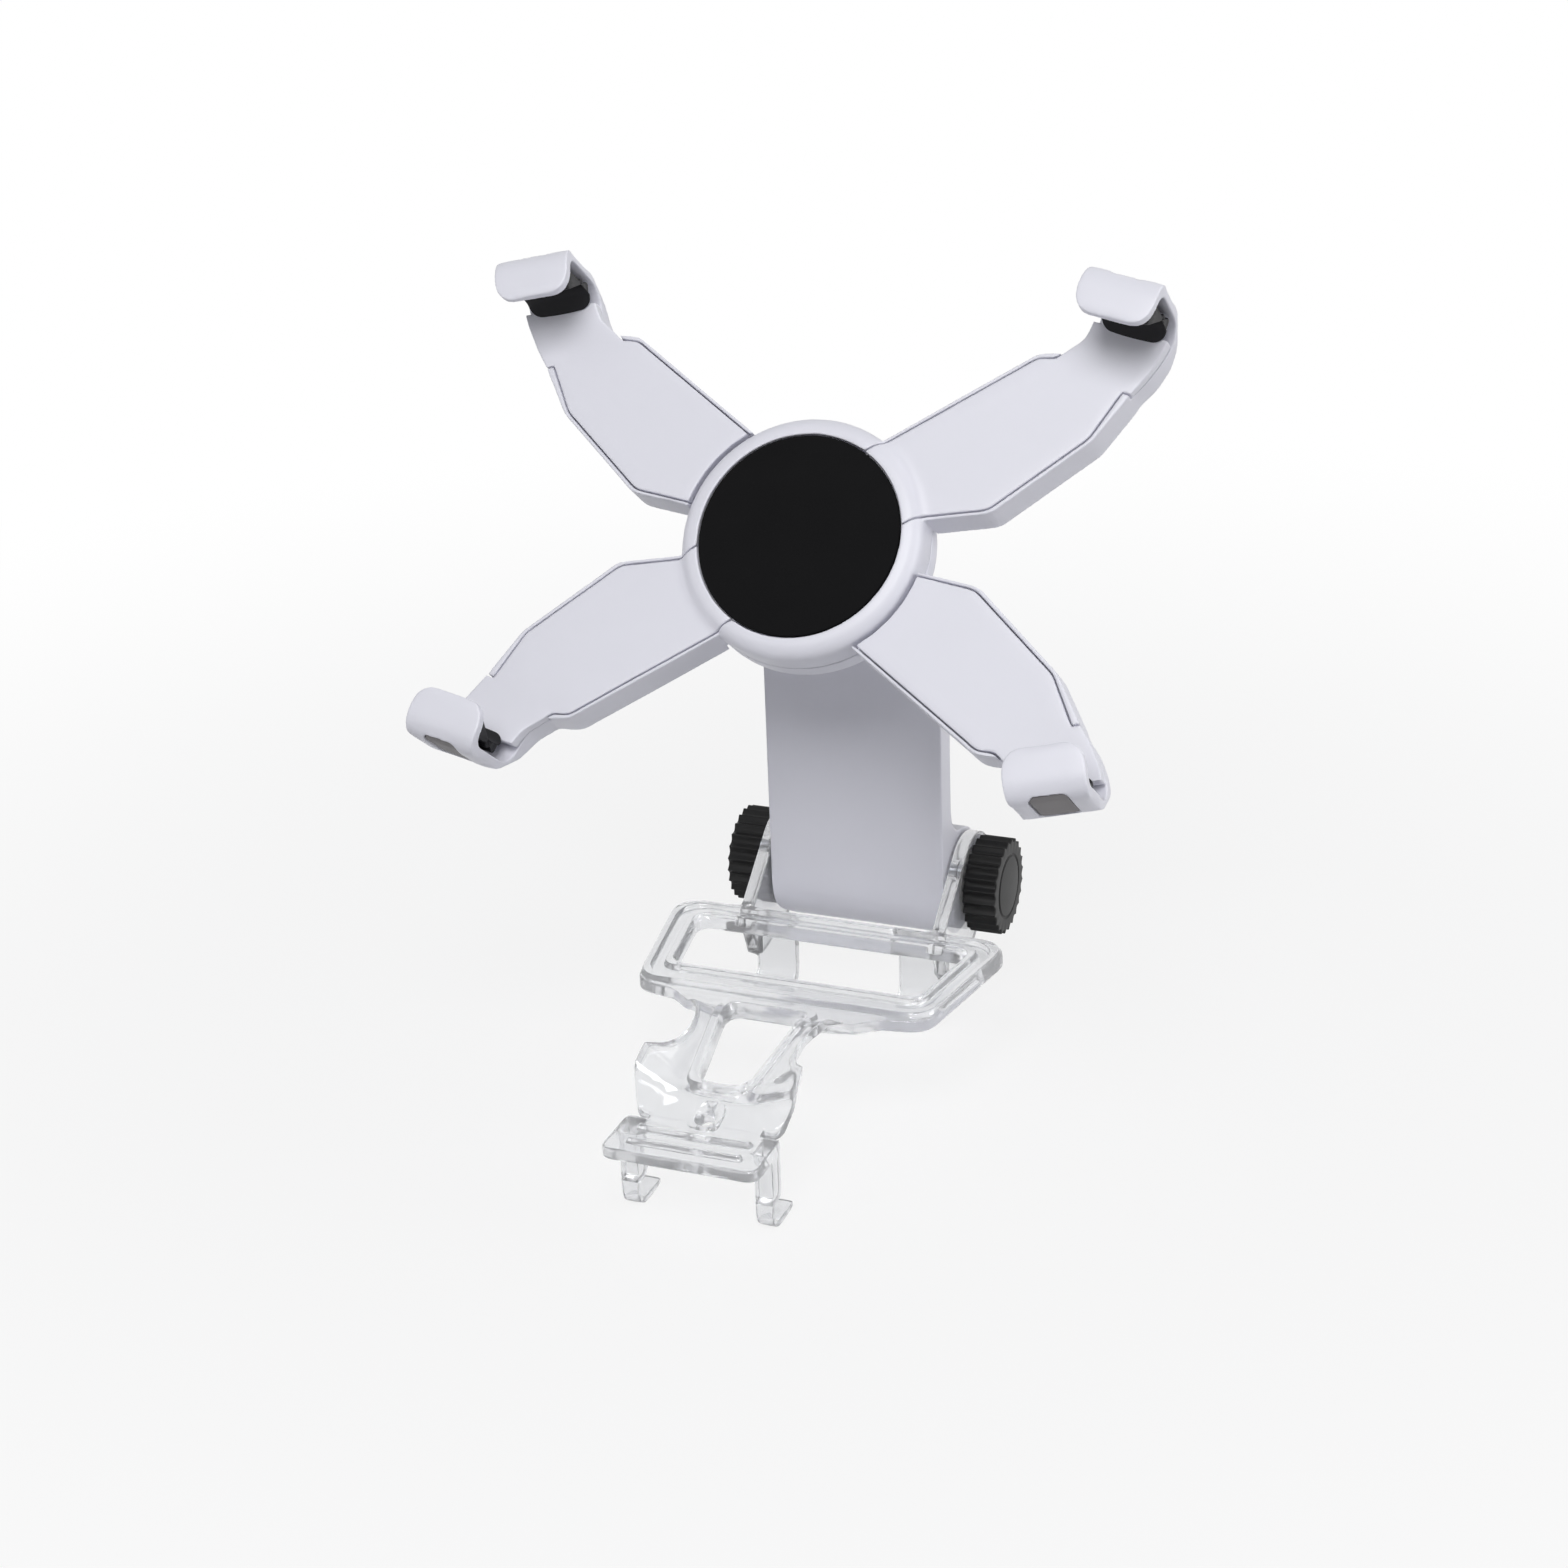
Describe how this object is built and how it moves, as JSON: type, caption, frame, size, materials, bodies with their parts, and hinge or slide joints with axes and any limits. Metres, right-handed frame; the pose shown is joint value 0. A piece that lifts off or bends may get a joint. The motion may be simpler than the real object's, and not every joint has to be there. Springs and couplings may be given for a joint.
{
  "type": "controller phone clip",
  "caption": "Clear clip-on bracket for a game controller with a tilting white neck, thumb knobs and a scissor clamp of hooked arms round a hub with a black pad.",
  "frame": {"origin": "under the middle of the clear bracket's rear bar, on the face that seats on the controller", "axes": "+X to the right as the player sees it, +Y away from the player, +Z off the controller's face"},
  "size_m": [0.1374, 0.1204, 0.1657],
  "materials": {
    "clear_bracket": "clear moulded polycarbonate",
    "neck": "white ABS, fine satin texture",
    "knob_left": "black nylon, moulded",
    "hinge_screw_left": "zinc plated steel",
    "hinge_nut_left": "machined brass",
    "friction_washer_left": "natural acetal",
    "knob_right": "black nylon, moulded",
    "hinge_screw_right": "zinc plated steel",
    "hinge_nut_right": "machined brass",
    "friction_washer_right": "natural acetal",
    "front_bar_shell": "white ABS, fine satin texture",
    "front_bar_cover": "white ABS, fine satin texture",
    "rear_bar_shell": "white ABS, fine satin texture",
    "arm_cover_upper_left": "white ABS, fine satin texture",
    "arm_cover_lower_right": "white ABS, fine satin texture",
    "hook_pad_upper_right": "moulded silicone rubber",
    "cover_screw_upper_right_inner": "zinc plated steel",
    "cover_screw_upper_right_outer": "zinc plated steel",
    "hook_pad_lower_left": "moulded silicone rubber",
    "cover_screw_lower_left_inner": "zinc plated steel",
    "cover_screw_lower_left_outer": "zinc plated steel",
    "hook_pad_upper_left": "moulded silicone rubber",
    "cover_screw_upper_left_inner": "zinc plated steel",
    "cover_screw_upper_left_outer": "zinc plated steel",
    "hook_pad_lower_right": "moulded silicone rubber",
    "cover_screw_lower_right_inner": "zinc plated steel",
    "cover_screw_lower_right_outer": "zinc plated steel",
    "centre_pad": "smooth rubber sheet",
    "pivot_bolt": "zinc plated steel",
    "pivot_washer": "zinc plated steel",
    "pivot_insert": "machined brass",
    "turntable_washer": "natural acetal",
    "friction_disc": "natural acetal"
  },
  "bodies": {
    "bracket": {"clear_bracket": "clear_bracket"},
    "neck": {"neck": "neck", "hinge_nut_left": "hinge_nut_left", "hinge_nut_right": "hinge_nut_right", "friction_washer_left": "friction_washer_left", "friction_washer_right": "friction_washer_right", "pivot_insert": "pivot_insert", "turntable_washer": "turntable_washer", "pivot_bolt": "pivot_bolt", "pivot_washer": "pivot_washer"},
    "knob_left": {"knob_left": "knob_left", "hinge_screw_left": "hinge_screw_left"},
    "knob_right": {"knob_right": "knob_right", "hinge_screw_right": "hinge_screw_right"},
    "rear_bar": {"rear_bar_shell": "rear_bar_shell", "arm_cover_upper_left": "arm_cover_upper_left", "arm_cover_lower_right": "arm_cover_lower_right", "hook_pad_upper_left": "hook_pad_upper_left", "hook_pad_lower_right": "hook_pad_lower_right", "friction_disc": "friction_disc", "cover_screw_upper_left_inner": "cover_screw_upper_left_inner", "cover_screw_upper_left_outer": "cover_screw_upper_left_outer", "cover_screw_lower_right_inner": "cover_screw_lower_right_inner", "cover_screw_lower_right_outer": "cover_screw_lower_right_outer"},
    "front_bar": {"front_bar_shell": "front_bar_shell", "front_bar_cover": "front_bar_cover", "hook_pad_upper_right": "hook_pad_upper_right", "hook_pad_lower_left": "hook_pad_lower_left", "centre_pad": "centre_pad", "cover_screw_upper_right_inner": "cover_screw_upper_right_inner", "cover_screw_upper_right_outer": "cover_screw_upper_right_outer", "cover_screw_lower_left_inner": "cover_screw_lower_left_inner", "cover_screw_lower_left_outer": "cover_screw_lower_left_outer"}
  },
  "joints": [
    {"name": "neck_tilt", "type": "hinge", "parent": "bracket", "child": "neck", "pos_m": [0, 0.0232, 0.0058], "axis": [1, 0, 0], "range_deg": [-80, 8]},
    {"name": "knob_left_turn", "type": "hinge", "parent": "neck", "child": "knob_left", "pos_m": [-0.0228, 0.0232, 0.0058], "axis": [-1, 0, 0], "range_deg": [-30, 330]},
    {"name": "knob_right_turn", "type": "hinge", "parent": "neck", "child": "knob_right", "pos_m": [0.0228, 0.0232, 0.0058], "axis": [1, 0, 0], "range_deg": [-30, 330]},
    {"name": "holder_turn", "type": "hinge", "parent": "neck", "child": "rear_bar", "pos_m": [0, -0.0148, 0.0933], "axis": [0, -0.7965, 0.6046], "continuous": true},
    {"name": "arm_scissor", "type": "hinge", "parent": "rear_bar", "child": "front_bar", "pos_m": [0, -0.0148, 0.0933], "axis": [0, -0.7965, 0.6046], "range_deg": [-22, 30]}
  ]
}
